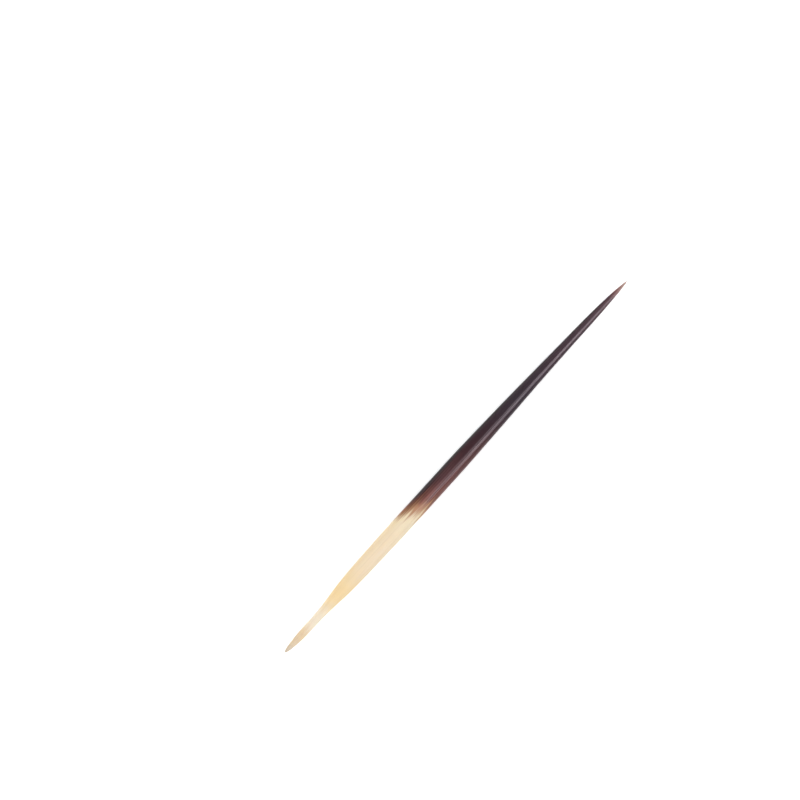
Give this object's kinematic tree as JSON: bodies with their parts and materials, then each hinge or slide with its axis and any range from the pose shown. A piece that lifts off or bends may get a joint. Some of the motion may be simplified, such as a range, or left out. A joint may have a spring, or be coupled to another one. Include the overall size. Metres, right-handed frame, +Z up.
{
  "type": "porcupine quill",
  "caption": "Porcupine quill lying on its belly: blunt narrow root, neck, swelling spindle belly and long taper to a needle point, cream turning brown-black, finely fluted.",
  "frame": {"origin": "middle of the underside of the bounding box, on the surface that the quill lies on", "axes": "+X along the quill from root to point, +Y sideways towards the outside of its slight bow, +Z up"},
  "size_m": [0.125, 0.0046, 0.0044],
  "materials": {
    "keratin": "smooth satin keratin, finely fluted lengthwise, cream at the root half and brown-black towards the point"
  },
  "bodies": {
    "root": {"quill": "keratin"}
  },
  "joints": []
}
